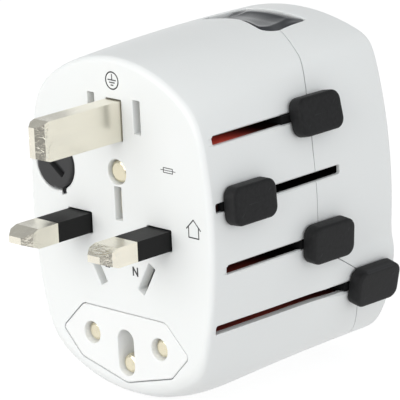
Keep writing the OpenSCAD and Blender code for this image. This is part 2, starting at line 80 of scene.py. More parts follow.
# +x half of the release button seen from above, front to rear: (x, y)
BUTTON_HALF = [
    (2.6, 35), (5.2, 34.3), (7, 33.85), (8, 33.8), (8.75, 34.2), (9.35, 34.95), (9.75, 35.85),
    (9.9, 37), (9.6, 38.6), (9.2, 41), (8.95, 43.4), (8.8, 44.9), (8.4, 45.8), (7.6, 46.2),
]
BUTTON_MID_Y = 40


# ---------------------------------------------------------------- the casing's section law
def through_stations(front, middle, rear, t):
    """The parabola through values at the front, at MID and at the rear."""
    return (front*(t - MID)*(t - 1)/MID + middle*t*(t - 1)/(MID*(MID - 1))
            + rear*t*(t - MID)/(1 - MID))


def smoothstep(value):
    value = min(1, max(0, value))
    return value*value*(3 - 2*value)


def arc_reach(cx, cz, radius, dx, dz):
    """Distance from the axis to a circle along the direction (dx, dz)."""
    along = cx*dx + cz*dz
    return along + math.sqrt(max(along*along - cx*cx - cz*cz + radius*radius, 1e-6))


def fillet_inset(y):
    """How far the end fillets draw the skin in."""
    if y < FRONT_FILLET:
        return FRONT_FILLET - math.sqrt(max(0, FRONT_FILLET**2 - (FRONT_FILLET - y)**2))
    if y > DEPTH - REAR_FILLET:
        return REAR_FILLET - math.sqrt(max(0, REAR_FILLET**2 - (y - DEPTH + REAR_FILLET)**2))
    return 0.0


def section_radius(angle, y):
    """Flank, crown and belly arcs blended into one soft-cornered section."""
    flank_r, flank_z, corner_power = 94.4, 1.9, 34
    t = y / DEPTH
    chin = math.exp(-y/3)
    half_w = through_stations(HALF_W, HALF_W - 0.3, HALF_W - 1.3, t)
    crown = through_stations(CROWN_FRONT, CROWN_MID, CROWN_FRONT + 0.3, t)
    belly = through_stations(-36.3, -34.5, -33.8, t) + 3.6*chin
    belly_r, crown_r = 38.5 - 6.4*chin, 31.3 + 18.5*t
    dx, dz = abs(math.cos(angle)), math.sin(angle)
    reach = [
        arc_reach(half_w - flank_r, flank_z, flank_r, dx, dz),
        arc_reach(0, crown - crown_r, crown_r, dx, dz) if dz > 0
        else arc_reach(0, belly + belly_r, belly_r, dx, dz),
    ]
    least = min(reach)
    return least*sum((r/least)**-corner_power for r in reach)**(-1/corner_power)


def swell(angle, y, z):
    """The sideways bulge low on the rear flanks."""
    size = 1.33/(1 + math.exp(-(y - 34)/2))/(1 + math.exp(z + 10.5))/(1 + math.exp(-(z + 25)/2))
    # a smooth start, so no crease shows where the bulge switches on
    return math.copysign(size*smoothstep((abs(math.cos(angle)) - 0.3)/0.12), math.cos(angle))


def skin_point(angle, y, depth=0.0):
    """A point of the outer skin, or one sunk below it by depth."""
    r = section_radius(angle, y) - depth - fillet_inset(y)
    z = r*math.sin(angle)
    return (r*math.cos(angle) + swell(angle, y, z), y, z)


def skin_x(y, z):
    """x of the +x flank at (y, z)."""
    low, high = -1.45, 1.45
    for _ in range(40):
        middle = (low + high)/2
        if skin_point(middle, y)[2] < z:
            low = middle
        else:
            high = middle
    return skin_point(low, y)[0]


def skin_z(x, y):
    """Height of the crown at (x, y)."""
    low, high = 0.2, math.pi/2
    for _ in range(40):
        middle = (low + high)/2
        if skin_point(middle, y)[0] > abs(x):
            low = middle
        else:
            high = middle
    return skin_point(low, y)[2]


# ---------------------------------------------------------------- mesh helpers (mm in)
def mesh_object(name, verts, faces, smooth=True):
    mesh = bpy.data.meshes.new(name)
    mesh.from_pydata([(x*MM, y*MM, z*MM) for x, y, z in verts], [], faces)
    bm = bmesh.new()
    bm.from_mesh(mesh)
    bmesh.ops.recalc_face_normals(bm, faces=bm.faces)
    bm.to_mesh(mesh)
    bm.free()
    for face in mesh.polygons:
        face.use_smooth = smooth
    obj = bpy.data.objects.new(name, mesh)
    scene.collection.objects.link(obj)
    return obj


def loft(name, rings, smooth=True):
    """A capped solid through rings of equal point count."""
    n, count = len(rings[0]), len(rings)
    faces = []
    for i in range(count - 1):
        for j in range(n):
            k = (j + 1) % n
            faces.append((i*n + j, i*n + k, (i + 1)*n + k, (i + 1)*n + j))
    faces.append(tuple(range(n - 1, -1, -1)))
    faces.append(tuple((count - 1)*n + j for j in range(n)))
    return mesh_object(name, [p for ring in rings for p in ring], faces, smooth)


def box(low, high):
    verts = [(x, y, z) for z in (low[2], high[2]) for y in (low[1], high[1])
             for x in (low[0], high[0])]
    faces = [(0, 1, 3, 2), (4, 6, 7, 5), (0, 4, 5, 1), (2, 3, 7, 6), (0, 2, 6, 4), (1, 5, 7, 3)]
    return mesh_object("box", verts, faces, False)


def bake(obj):
    """Applies the modifiers."""
    depsgraph = bpy.context.evaluated_depsgraph_get()
    mesh = bpy.data.meshes.new_from_object(obj.evaluated_get(depsgraph))
    obj.modifiers.clear()
    old = obj.data
    obj.data = mesh
    if old.users == 0:
        bpy.data.meshes.remove(old)


solvers = bpy.types.BooleanModifier.bl_rna.properties["solver"].enum_items
SOLVER = "MANIFOLD" if "MANIFOLD" in [item.identifier for item in solvers] else "EXACT"


def boolean(obj, tools, operation="DIFFERENCE"):
    """Applies the tools in turn and removes them."""
    for tool in tools:
        modifier = obj.modifiers.new("b", "BOOLEAN")
        modifier.operation, modifier.object, modifier.solver = operation, tool, SOLVER
    bpy.context.view_layer.update()
    bake(obj)
    for tool in tools:
        bpy.data.objects.remove(tool)


def crease(obj, degrees):
    """Smooth shading with edges sharper than the angle kept crisp."""
    for face in obj.data.polygons:
        face.use_smooth = True
    bm = bmesh.new()
    bm.from_mesh(obj.data)
    for e in bm.edges:
        e.smooth = not (len(e.link_faces) == 2 and e.calc_face_angle(0) > math.radians(degrees))
    bm.to_mesh(obj.data)
    bm.free()


def soften(obj, width, segments, degrees):
    bevel = obj.modifiers.new("edge", "BEVEL")
    bevel.width = width*MM
    bevel.segments = segments
    bevel.limit_method = "ANGLE"
    bevel.angle_limit = math.radians(degrees)
    bevel.harden_normals = True
    bevel.use_clamp_overlap = True


def assign(obj, look):
    obj.data.materials.clear()
    obj.data.materials.append(look)


def register(obj, look, body, replaced):
    assign(obj, look)
    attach(obj, body)
    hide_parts(replaced)


# ---------------------------------------------------------------- outlines
def rounded_rect(cx, cy, width, height, radius, grow=0.0, turn=0.0, steps=6):
    half_w, half_h, r = width/2 + grow, height/2 + grow, max(radius + grow, 0.01)
    points = []
    for sx, sy, start in ((1, 1, 0), (-1, 1, 90), (-1, -1, 180), (1, -1, 270)):
        for i in range(steps + 1):
            a = math.radians(start + 90*i/steps)
            points.append((sx*(half_w - r) + r*math.cos(a), sy*(half_h - r) + r*math.sin(a)))
    cos, sin = math.cos(math.radians(turn)), math.sin(math.radians(turn))
    return [(cx + x*cos + y*sin, cy - x*sin + y*cos) for x, y in points]


def circle(cx, cy, r, n=48):
    return [(cx + r*math.cos(2*math.pi*i/n), cy + r*math.sin(2*math.pi*i/n)) for i in range(n)]


def block_outline(grow=0.0, steps=6):
    """The pin block's rounded outline, grown outwards."""
    inside = Vector((0, -24))
    points = [Vector(p) for p, _ in BLOCK_CORNERS]
    n = len(points)
    grown = []
    for i in range(n):
        before, here, after = points[i - 1], points[i], points[(i + 1) % n]
        u, v = (here - before).normalized(), (after - here).normalized()
        normal_u, normal_v = Vector((-u.y, u.x)), Vector((-v.y, v.x))
        if (here - inside).dot(normal_u + normal_v) < 0:
            normal_u, normal_v = -normal_u, -normal_v
        grown.append(here + (normal_u + normal_v)*(grow/(1 + normal_u.dot(normal_v))))
    out = []
    for i in range(n):
        before, here, after = grown[i - 1], grown[i], grown[(i + 1) % n]
        r = max(BLOCK_CORNERS[i][1] + grow, 0.1)
        u, v = (before - here).normalized(), (after - here).normalized()
        half = math.acos(max(-1, min(1, u.dot(v))))/2
        centre = here + (u + v).normalized()*(r/math.sin(half))
        start = here + u*(r/math.tan(half)) - centre
        end = here + v*(r/math.tan(half)) - centre
        for j in range(steps + 1):
            ray = (start*(1 - j/steps) + end*(j/steps)).normalized()
            out.append(tuple(centre + ray*r))
    return out


def smooth_loop(points, steps=4):
    """A closed Catmull-Rom curve through the points."""
    n, out = len(points), []
    for i in range(n):
        a, b, c, d = (Vector(points[(i + j - 1) % n]) for j in range(4))
        for j in range(steps):
            t = j/steps
            out.append(tuple(0.5*((2*b) + (c - a)*t + (2*a - 5*b + 4*c - d)*t*t
                                  + (3*b - a - 3*c + d)*t**3)))
    return out


def button_outline(scale_x=1.0, scale_y=1.0, grow=0.0):
    points = ([(0, 35.45)] + BUTTON_HALF + [(2.6, 46.2), (-2.6, 46.2)]
              + [(-x, y) for x, y in reversed(BUTTON_HALF)])
    loop = smooth_loop([(x*scale_x, BUTTON_MID_Y + (y - BUTTON_MID_Y)*scale_y)
                        for x, y in points])
    n = len(loop)
    out = []
    for i, (x, y) in enumerate(loop):
        along = (Vector(loop[(i + 1) % n]) - Vector(loop[i - 1])).normalized()
        out.append((x + along.y*grow, y - along.x*grow))
    return out


# ---------------------------------------------------------------- cutting tools
def at_y(outline, y):
    return [(x, y, z) for x, z in outline]


def cylinder(x, z, radius, y0, y1):
    return loft("cylinder", [at_y(circle(x, z, radius, 40), y) for y in (y0, y1)])


def hole(outline, depth, chamfer, face_y=0.0, inward=1):
    """A chamfered hole from an end face. outline(grow) gives (x, z) points."""
    stations = ((chamfer + 0.6, -0.6), (chamfer, 0.0), (chamfer*0.35, chamfer*0.35),
                (0.0, chamfer), (0.0, depth))       # (grow, depth below the face)
    return loft("hole", [at_y(outline(grow), face_y + inward*y) for grow, y in stations])


def rect_hole(x, z, width, height, chamfer, radius=0.25, turn=0, depth=4, steps=3, **face):
    return hole(lambda grow: rounded_rect(x, z, width, height, radius, grow, turn, steps),
                depth, chamfer, **face)


def round_hole(x, z, radius, depth, chamfer, n=48, **face):
    return hole(lambda grow: circle(x, z, radius + grow, n), depth, chamfer, **face)


# ---------------------------------------------------------------- shader helpers
def add_node(tree, kind, inputs=(), **settings):
    """Adds a shader node. Sockets among the inputs are linked, other values are set."""
    node = tree.nodes.new("ShaderNode" + kind)
    for key, value in settings.items():
        setattr(node, key, value)
    for key, value in dict(inputs).items():
        if isinstance(value, bpy.types.NodeSocket):
            tree.links.new(value, node.inputs[key])
        else:
            node.inputs[key].default_value = value
    return node


def noise(tree, vector, scale, detail, roughness=0.5):
    inputs = {"Vector": vector, "Scale": scale, "Detail": detail, "Roughness": roughness}
    return add_node(tree, "TexNoise", inputs).outputs["Fac"]


def map_range(tree, value, source, target, kind="LINEAR"):
    inputs = {"Value": value, "From Min": source[0], "From Max": source[1],
              "To Min": target[0], "To Max": target[1]}
    return add_node(tree, "MapRange", inputs, interpolation_type=kind).outputs[0]


def math_node(tree, operation, *values):
    return add_node(tree, "Math", dict(enumerate(values)), operation=operation).outputs[0]


def scale_colour(tree, colour, factor):
    return add_node(tree, "VectorMath", {0: colour, "Scale": factor}, operation="SCALE").outputs[0]


def mix(tree, data_type, factor, a, b):
    node = add_node(tree, "Mix", {"Factor": factor, "A": a, "B": b}, data_type=data_type)
    return node.outputs["Result"]


def position(tree):
    """The object coordinates, split into x, y, z."""
    coords = add_node(tree, "TexCoord").outputs["Object"]
    return coords, add_node(tree, "SeparateXYZ", {0: coords}).outputs


# ---------------------------------------------------------------- materials
def material(name, base, rough, metallic=0.0, tone=0.05, tone_scale=60, grain=3000, bump=0.05,
             bump_dist=0.00004, rough_var=0.06, stretch=None, coat=0.0, sss=0.0, sheen=0.0,
             aniso=0.0, spec=0.5, stain=None, wear=None, painted_shade=None):
    """A surface with slow tone changes (tone, tone_scale) and a fine bumpy grain.

    stain is (colour, noise scale, amount), wear on raised edges is (colour, amount),
    painted shade in corners and recesses, found by ambient occlusion, is (colour, reach in metres,
    amount). stretch scales the grain per axis.
    """
    made = bpy.data.materials.new(name)
    made.use_nodes = True
    tree = made.node_tree
    tree.nodes.clear()
    coords = add_node(tree, "TexCoord").outputs["Object"]
    grain_coords = coords
    if stretch:
        grain_coords = add_node(tree, "Mapping", {"Vector": coords, "Scale": stretch}).outputs[0]
    slow = noise(tree, coords, tone_scale, 4)
    fine = noise(tree, grain_coords, grain, 3)
    shade = map_range(tree, slow, (0.3, 0.7), (1 - tone, 1 + tone))
    colour = scale_colour(tree, base, shade)
    if stain:
        second, scale, amount = stain
        spots = noise(tree, grain_coords, scale, 5)
        share = map_range(tree, spots, (0.5, 0.75), (0, amount))
        colour = mix(tree, "RGBA", share, colour, (*second, 1))
    if wear:
        worn, amount = wear
        edges = add_node(tree, "NewGeometry").outputs["Pointiness"]
        share = map_range(tree, edges, (0.53, 0.62), (0, amount))
        colour = mix(tree, "RGBA", share, colour, (*worn, 1))
    # painted shade: the colour turns towards the given one where ambient occlusion finds corners
    # and recesses
    if painted_shade:
        shade_colour, reach, amount = painted_shade
        openness = add_node(tree, "AmbientOcclusion", {"Distance": reach}, samples=6).outputs["AO"]
        share = map_range(tree, openness, (0.25, 0.9), (amount, 0))
        colour = mix(tree, "RGBA", share, colour, (*shade_colour, 1))
    both = math_node(tree, "ADD", math_node(tree, "MULTIPLY", slow, 0.5),
                     math_node(tree, "MULTIPLY", fine, 0.5))
    relief = add_node(tree, "Bump", {"Strength": bump, "Distance": bump_dist, "Height": fine})
    surface = add_node(tree, "BsdfPrincipled", {
        "Base Color": colour,
        "Roughness": map_range(tree, both, (0, 1), (rough - rough_var, rough + rough_var)),
        "Normal": relief.outputs[0],
        "Metallic": metallic,
        "Specular IOR Level": spec,
        "Coat Weight": coat,
        "Coat Roughness": 0.12,
        "Subsurface Weight": sss,
        "Subsurface Radius": (0.0015, 0.0013, 0.0012),
        "Subsurface Scale": 1.0,
        "Sheen Weight": sheen,
        "Anisotropic": aniso,
    })
    add_node(tree, "OutputMaterial", {0: surface.outputs[0]})
    return made


def paint_guide_shade(guide):
    """Paints shade into the guide's red: darker towards the rear, and darker by bands of height."""
    tree = guide.node_tree
    colour_in = tree.nodes["Principled BSDF"].inputs["Base Color"]
    red = colour_in.links[0].from_socket
    _, axes = position(tree)
    bottom, top = -0.021, 0.025

    def fade(y0, y1):
        return map_range(tree, axes["Y"], (y0, y1), (1, 0.02), "SMOOTHSTEP")

    def bands(levels):
        """Steps of painted shade: (z where a band starts, level)."""
        height = map_range(tree, axes["Z"], (bottom, top), (0, 1))
        ramp = add_node(tree, "ValToRGB", {0: height})
        ramp.color_ramp.interpolation = "CONSTANT"
        stops = ramp.color_ramp.elements
        for i, (z, level) in enumerate(levels):
            place = (z - bottom)/(top - bottom)
            stop = stops[i] if i < 2 else stops.new(place)
            stop.position = place
            stop.color = (level, level, level, 1)
        return ramp.outputs["Color"]

    # the painted shade darkens the lowest band only further back, so it stays red further back
    faded = mix(tree, "FLOAT", bands([(bottom, 1), (-0.011, 0)]),
                fade(0.007, 0.0195), fade(0.015, 0.044))
    # painted shade by height, one band for each side slot
    levels = bands([(bottom, 0.35), (-0.011, 0.22), (0.0035, 0.02), (0.0125, 1)])
    level = math_node(tree, "MULTIPLY", faded, levels)
    tree.links.new(scale_colour(tree, red, level), colour_in)


def dimple_tips(nickel):
    """Dimples the front ends of the pins; the flanks stay smooth."""
    tree = nickel.node_tree
    coords, axes = position(tree)
    # below z = 3 mm the dimpled zone reaches 4.1 mm further back
    low = math_node(tree, "LESS_THAN", axes["Z"], 0.003)
    y = math_node(tree, "MULTIPLY_ADD", low, -0.0041, axes["Y"])
    share = map_range(tree, y, (-0.0205, -0.0165), (1, 0.015), "SMOOTHSTEP")
    dents = noise(tree, coords, scale=620, detail=3, roughness=0.55)
    height = math_node(tree, "MULTIPLY", dents, share)
    relief = add_node(tree, "Bump", {"Strength": 0.75, "Distance": 0.0004, "Height": height,
                                     "Normal": tree.nodes["Bump"].outputs[0]})
    tree.links.new(relief.outputs[0], tree.nodes["Principled BSDF"].inputs["Normal"])


# both white mouldings get grey painted shade in their corners and recesses
WHITE = material("white_moulding", (0.80, 0.815, 0.81), rough=0.34, tone=0.012, tone_scale=35,
                 grain=5200, bump=0.10, sss=0.06, spec=0.45,
                 painted_shade=((0.42, 0.43, 0.45), 0.0012, 0.35))
BLOCK_WHITE = material("block_moulding", (0.82, 0.83, 0.825), rough=0.38, tone=0.012,
                       tone_scale=50, grain=5200, bump=0.10, sss=0.06,
                       painted_shade=((0.45, 0.45, 0.46), 0.001, 0.3))
RED = material("guide_moulding", (0.82, 0.14, 0.10), rough=0.55, tone=0.10, tone_scale=90,
               grain=2600, bump=0.12, spec=0.18)
paint_guide_shade(RED)
SOFT_TOUCH = material("soft_touch", (0.0085, 0.0088, 0.0095), rough=0.60, rough_var=0.07,
                      tone=0.32, tone_scale=1300, grain=3600, bump=0.60, bump_dist=0.00006,
                      sheen=0.02, spec=0.27, wear=((0.035, 0.036, 0.038), 0.6))
BLACK = material("carrier_moulding", (0.006, 0.006, 0.0065), rough=0.6, tone=0.15,
                 tone_scale=120, bump=0.12, spec=0.18)
SLEEVE = material("sleeve_moulding", (0.0018, 0.0018, 0.002), rough=0.46, tone=0.15,
                  tone_scale=200, grain=2600, bump=0.18, spec=0.15, stretch=(1, 0.25, 1),
                  wear=((0.015, 0.015, 0.015), 0.5))
NICKEL = material("nickel_plate", (0.815, 0.755, 0.575), rough=0.22, rough_var=0.10,
                  metallic=1.0, tone_scale=110, grain=2200, bump=0.22, stretch=(1, 0.10, 1),
                  aniso=0.25, wear=((0.97, 0.95, 0.90), 0.5),
                  stain=((0.55, 0.50, 0.38), 260, 0.42))
dimple_tips(NICKEL)
STEEL = material("strap_steel", (0.55, 0.55, 0.55), rough=0.32, metallic=1.0, tone=0.06,
                 grain=2400, bump=0.15, stretch=(0.08, 1, 1))
CAP_GREY = material("cap_moulding", (0.020, 0.0205, 0.0215), rough=0.50, tone=0.08,
                    tone_scale=140, grain=3600, bump=0.22, wear=((0.16, 0.16, 0.17), 0.5))
CERAMIC = material("fuse_ceramic", (0.78, 0.76, 0.70), rough=0.55, grain=2500, bump=0.15)
GLOSS = material("button_gloss", (0.006, 0.009, 0.015), rough=0.20, rough_var=0.05, tone=0.15,
                 tone_scale=70, grain=3500, bump=0.02, coat=0.48)
# painted shade darkens the brass deep in its recesses
BRASS = material("contact_brass", (0.72, 0.53, 0.24), rough=0.3, metallic=1.0, tone=0.08,
                 grain=2400, bump=0.12, stretch=(1, 0.1, 1),
                 stain=((0.40, 0.24, 0.09), 260, 0.45), painted_shade=((0.06, 0.04, 0.015), 0.005, 0.8))
SHUTTER = material("shutter_moulding", (0.42, 0.43, 0.43), rough=0.45, grain=3200, bump=0.12)
SPRING = material("spring_wire", (0.5, 0.5, 0.5), rough=0.28, metallic=1.0, tone=0.06,
                  grain=4000, bump=0.1)
# painted shade darkens the screws' recesses nearly to black
ZINC = material("screw_zinc", (0.48, 0.48, 0.50), rough=0.34, metallic=1.0, tone=0.08,
                bump=0.15, stain=((0.36, 0.34, 0.30), 300, 0.3),
                painted_shade=((0.02, 0.02, 0.02), 0.0009, 0.97))
PRINT = material("print_grey", (0.045, 0.045, 0.048), rough=0.55, tone=0.15, tone_scale=500,
                 grain=6000, bump=0.1)


# ---------------------------------------------------------------- casing
OUTER_Y = ([0, 0.03, 0.1, 0.22, 0.4, 0.62, 0.9, 1.3] + [1.3 + 2.2*i for i in range(1, 24)]
           + [52.3, 52.7, 53.0, 53.2, 53.35, 53.45, 53.5])
INNER_Y = [2.2, 6, 12, 18, 24, 30, 36, 42, 47, 51.2]
PART_GAP = 0.055    # half the gap between the two shells


def skin(name, stations, depth=0.0, n=288):
    angles = [2*math.pi*i/n for i in range(n)]
    return loft(name, [[skin_point(a, y, depth) for a in angles] for y in stations])


def front_zone(gap):
    """Two prisms that fill what lies in front of the parting line, moved back by gap."""
    bow = [(x, y + gap) for x, y in PART_TOP]
    top = ([(60, -5), (60, PART_Y + gap)] + bow + [(-x, y) for x, y in reversed(bow)]
           + [(-60, PART_Y + gap), (-60, -5)])
    side = ([(-5.2, 0), (PART_Y + gap, 0)] + [(y + gap, z + gap*0.8) for z, y in PART_LOW]
            + [(-5.2, -61)])
    upper = loft("upper", [[(x, y, z) for x, y in top] for z in (PART_Z - gap, 55)], False)
    lower = loft("lower", [[(x, y, z) for y, z in side] for x in (-60.5, 60.5)], False)
    return upper, lower


def parting_y(x, z):
    stations, place = (PART_TOP, x) if z > PART_Z else (PART_LOW, z)
    if place >= stations[0][0]:
        return stations[0][1]
    for (s0, y0), (s1, y1) in zip(stations, stations[1:]):
        if s1 <= place <= s0:
            return y0 + (y1 - y0)*(s0 - place)/(s0 - s1)
    return stations[-1][1]


def parting_groove():
    """A shallow V along the parting line, open at the crown where the button lies."""
    half_width, depth = 0.15*1.6, 0.13
    lip, cover = 0.08, 0.5      # heights over the skin of the V's edges and of the tool
    start, end, steps = 1.292, -math.pi/2, 170
    path = []
    for i in range(steps + 1):
        angle = start + (end - start)*i/steps
        y = PART_Y
        for _ in range(60):
            x, _, z = skin_point(angle, y)
            y += 0.5*(parting_y(abs(x), z) - y)
        path.append(Vector(skin_point(angle, y)))
    path += [Vector((-p.x, p.y, p.z)) for p in reversed(path[:-1])]
    rings = []
    for i, p in enumerate(path):
        along = (path[min(i + 1, len(path) - 1)] - path[max(i - 1, 0)]).normalized()
        out = Vector((p.x/26, 0.0, p.z/36))
        out = (out - along*out.dot(along)).normalized()
        across = along.cross(out)*half_width
        rings.append([tuple(p + v) for v in (across + out*lip, -out*depth,
                                             -across + out*lip, out*cover)])
    return loft("groove", rings, False)


def side_slot(z, y0, y1):
    """A chamfered slot through the +x flank."""
    chamfer, over = 0.16, 0.5

    def outline(grow=0.0):
        return rounded_rect((y0 + y1)/2, z, y1 - y0, 1.85, 0.42, grow)

    def flank(points, lift):
        return [(skin_x(max(v, FRONT_FILLET), w) + lift, v, w) for v, w in points]

    wide = outline(chamfer + over)
    return loft("slot", [
        [(20.4, v, w) for v, w in outline()],
        flank(outline(), -chamfer),
        flank(wide, over),
        [(32, v, w) for v, w in wide],
    ])


def side_slots():
    return [side_slot(*slot) for slot in SIDE_SLOTS.values()]


def slot_ramp(slot_z, slot_y, _):
    """A shallow run-in ahead of a side slot's front end."""
    rings = []
    for y, sink, half in ((slot_y - 1.6, -0.05, 0.55), (slot_y + 0.5, 0.5, 0.9)):
        heights = [slot_z - half + 2*half*i/6 - 0.1 for i in range(7)]
        rings.append([(skin_x(y, z) - sink, y, z) for z in heights]
                     + [(28, y, z) for z in reversed(heights)])
    return loft("ramp", rings, False)


def button_opening():
    chamfer = 0.22
    wide = button_outline(grow=chamfer + 1.0)
    rings = [[(x, y, 27) for x, y in button_outline()]]
    for lift, grow in ((-chamfer, 0), (-chamfer*0.55, chamfer*0.16), (-chamfer*0.2, chamfer*0.5),
                       (0.0, chamfer), (0.7, chamfer + 1.0)):
        rings.append([(x, y, skin_z(x, y) + lift) for x, y in button_outline(grow=grow)])
    rings.append([(x, y, 60) for x, y in wide])
    return loft("opening", rings)


def plug_face_holes():
    holes = [rect_hole(0, 22.22, 4.4, 8.4, chamfer=0.10)]
    for s in (-1, 1):
        holes.append(rect_hole(s*11.11, 0, 6.75, 4.4, chamfer=0.10))
        holes.append(rect_hole(s*6.35, 23.5, 1.9, 6.8, chamfer=0.14))
        holes.append(rect_hole(s*AUS_X, AUS_Z, 1.9, 6.7, chamfer=0.3, turn=s*AUS_TURN))
    holes.append(round_hole(0, 11.6, 2.52, depth=4, chamfer=0.25))
    holes.append(rect_hole(0, 5.185, 2.0, 6.87, chamfer=0.12))
    holes.append(hole(lambda grow: block_outline(0.17 + grow), depth=20, chamfer=0.08))
    holes.append(round_hole(FUSE_X, FUSE_Z, 5.25, depth=2.3, chamfer=0.75, n=72))
    holes.append(rect_hole(-15.64, 5.41, 1.5, 1.7, chamfer=0.02, radius=0.06, turn=-23))
    return holes


def rear_face_holes():
    face = dict(face_y=DEPTH, inward=-1)
    common = dict(depth=8, chamfer=0.3, **face)
    holes = []
    for s in (-1, 1):
        holes.append(rect_hole(s*11.11, -1, 7.0, 4.6, radius=0.5, steps=4, **common))
        holes.append(rect_hole(s*6.6, -1, 2.8, 7.2, radius=0.4, steps=4, **common))
        holes.append(round_hole(s*9.5, -1, 2.6, **common))
    holes.append(rect_hole(0, 21.3, 4.6, 8.6, radius=0.4, steps=4, **common))
    holes.append(round_hole(0, 10.9, 2.7, **common))
    for x, z in SCREWS:
        holes.append(cylinder(x, z, 1.5, 30, 60))
        holes.append(round_hole(x, z, 2.5, depth=3.1, chamfer=0.25, **face))
    return holes


def blade_pads():
    """Thickenings behind the two slanted blade holes."""
    return [loft("pad", [at_y(rounded_rect(s*AUS_X, AUS_Z, 4.6, 8.8, 0.3, 0, s*AUS_TURN, 3), y)
                         for y in (1.5, 2.6)], False) for s in (-1, 1)]


def skin_normal(x, y, z):
    """The section law's outward normal at a point, or None away from the skin."""
    if not 0.0 <= y <= DEPTH:
        return None
    angle = math.atan2(z, x)
    # the swell moves points sideways, so search the angle
    for _ in range(6):
        px, _, pz = skin_point(angle, y)
        angle += math.atan2(z, x) - math.atan2(pz, px)
    px, _, pz = skin_point(angle, y)
    if math.hypot(px - x, pz - z) >= 0.05:
        return None
    turn, step = 0.004, 0.02
    around = Vector(skin_point(angle + turn, y)) - Vector(skin_point(angle - turn, y))
    along = (Vector(skin_point(angle, min(y + step, DEPTH)))
             - Vector(skin_point(angle, max(y - step, 0.0))))
    normal = around.cross(along)
    if normal.length <= 1e-12:
        return None
    normal.normalize()
    return -normal if normal.x*x + normal.z*z < 0 else normal


def shade_shell(shell):
    """Creases, then normals from the section law on the skin and flat ones on the ends."""
    crease(shell, 32)
    mesh, rim = shell.data, 0.02
    coords = [tuple(c*1000 for c in v.co) for v in mesh.vertices]
    law = [skin_normal(*co) for co in coords]
    normals = []
    for face in mesh.polygons:
        for loop in face.loop_indices:
            vertex = mesh.loops[loop].vertex_index
            normal, y = law[vertex], coords[vertex][1]
            end = -1 if y < rim else 1 if y > DEPTH - rim else 0
            if end and face.normal.y*end > 0.97:
                normals.append((0, end, 0))
            elif normal is not None and normal.dot(face.normal) > 0.93 and rim < y < DEPTH - rim:
                normals.append(tuple(normal))
            else:
                normals.append((0, 0, 0))
    mesh.normals_split_custom_set(normals)


def flank_pocket():
    """Room for the guide comb inside the +x flank."""
    stations = [2.25, 3, 6, 10, 14, 18, 22, 26, 30, 33, 36, 38.4]
    heights = [-11.2 + 36.5*i/30 for i in range(31)]
    return loft("pocket", [[(skin_x(y, z) - 0.95, y, z) for z in heights]
                           + [(17, y, z) for z in reversed(heights)] for y in stations])


def casing():
    front = skin("front_casing_shell", OUTER_Y)
    rear = skin("rear_cap_shell", OUTER_Y)
    upper, lower = front_zone(-PART_GAP)
    boolean(upper, [lower], "UNION")
    boolean(front, [upper], "INTERSECT")
    boolean(rear, front_zone(PART_GAP))
    for shell in (front, rear):
        boolean(shell, [skin("inside", INNER_Y, WALL, 144)])

    # screw bosses, with their bores in the front casing
    boolean(front, [cylinder(x, z, 2.6, 1.2, 36) for x, z in SCREWS], "UNION")
    boolean(front, blade_pads(), "UNION")
    boolean(front, [cylinder(x, z, 1.25, 22, 37) for x, z in SCREWS])
    shelf = box((-4, 44, -15.7), (4, 52, -14.6))
    boolean(rear, [cylinder(x, z, 3.1, 38.5, 52) for x, z in SCREWS] + [shelf], "UNION")

    ramps = [slot_ramp(*SIDE_SLOTS[plug]) for plug in ("us", "aus")]
    boolean(front, side_slots() + ramps + [button_opening(), parting_groove()]
            + plug_face_holes())
    boolean(rear, side_slots() + [button_opening(), parting_groove()] + rear_face_holes())
    for shell, replaced in ((front, "front_casing"), (rear, "rear_cap")):
        shade_shell(shell)
        register(shell, WHITE, "casing", replaced)
    for shell in (front, rear):
        boolean(shell, [flank_pocket()])
        shade_shell(shell)
    return front, rear


front, rear = casing()


# ---------------------------------------------------------------- slider guide
def slider_guide():
    """A comb close behind the side slots."""
    comb_y = 3.25       # front end of the comb's gaps
    stations = [2.35] + [comb_y + 1.6*i for i in range(22)] + [38.2]
    heights = [-20.5 + 45.5*i/60 for i in range(61)]

    def depth(z):
        return 1.02 + 1.13/(1 + math.exp((z + 11.6)*9))

    guide = loft("slider_guide_comb", [
        [(skin_x(y, z) - depth(z), y, z) for z in heights]
        + [(18.3, y, z) for z in reversed(heights)] for y in stations])
    # the gap that reaches past y = 40 runs out through the rear end
    gaps = [box((15, max(comb_y, y0 + 0.05), z - 1.0), (32, 60 if y1 > 40 else y1 + 0.05, z + 1.0))
            for z, y0, y1 in SIDE_SLOTS.values()]
    boss_x, boss_z = SCREWS[3]
    boolean(guide, gaps + [cylinder(boss_x, boss_z, 2.75, 0, 40)])
    crease(guide, 32)
    register(guide, RED, "casing", "slider_guide")


slider_guide()

# ---------------------------------------------------------------- knobs
# (plug, y, z, x, lean in degrees)
KNOBS = [("uk", 9.6, 7.85, 25.6, 3.6), ("us", 30.65, 20.455, 23.852, 12),
         ("aus", 31.3, -4.9, 25.4, -4.2), ("euro", 45.0, -17.0, 24.3, -13)]
# (height over the base, growth of the outline)
KNOB_PROFILE = [
    (0.0, -0.22), (0.06, -0.07), (0.25, 0.0), (1.4, -0.02), (2.45, -0.05), (2.62, -0.09),
    (2.78, -0.19), (2.90, -0.34), (2.965, -0.54), (2.99, -0.78), (3.0, -1.1), (3.01, -1.5),
    (3.02, -2.0), (3.03, -2.6), (3.035, -3.2), (3.04, -3.7), (3.04, -3.9),
]


def knob(plug, y, z, x, lean):
    length, height, corner = 12.0, 7.9, 2.2
    cos, sin = math.cos(math.radians(lean)), math.sin(math.radians(lean))
    cap = loft(f"{plug}_knob_cap", [
        [(x + up*cos - v*sin, y + u, z + up*sin + v*cos)
         for u, v in rounded_rect(0, 0, length, height, corner, grow, 0, 12)]
        for up, grow in KNOB_PROFILE])
    # a notch in the base, level with the side slot
    slot_z, half = SIDE_SLOTS[plug][0], 0.82
    boolean(cap, [box((x - 1, y - 4, slot_z - half), (x + 1.2, y + 4, slot_z + half))])
    crease(cap, 48)
    register(cap, SOFT_TOUCH, f"{plug}_plug", f"{plug}_knob")


for row in KNOBS:
    knob(*row)


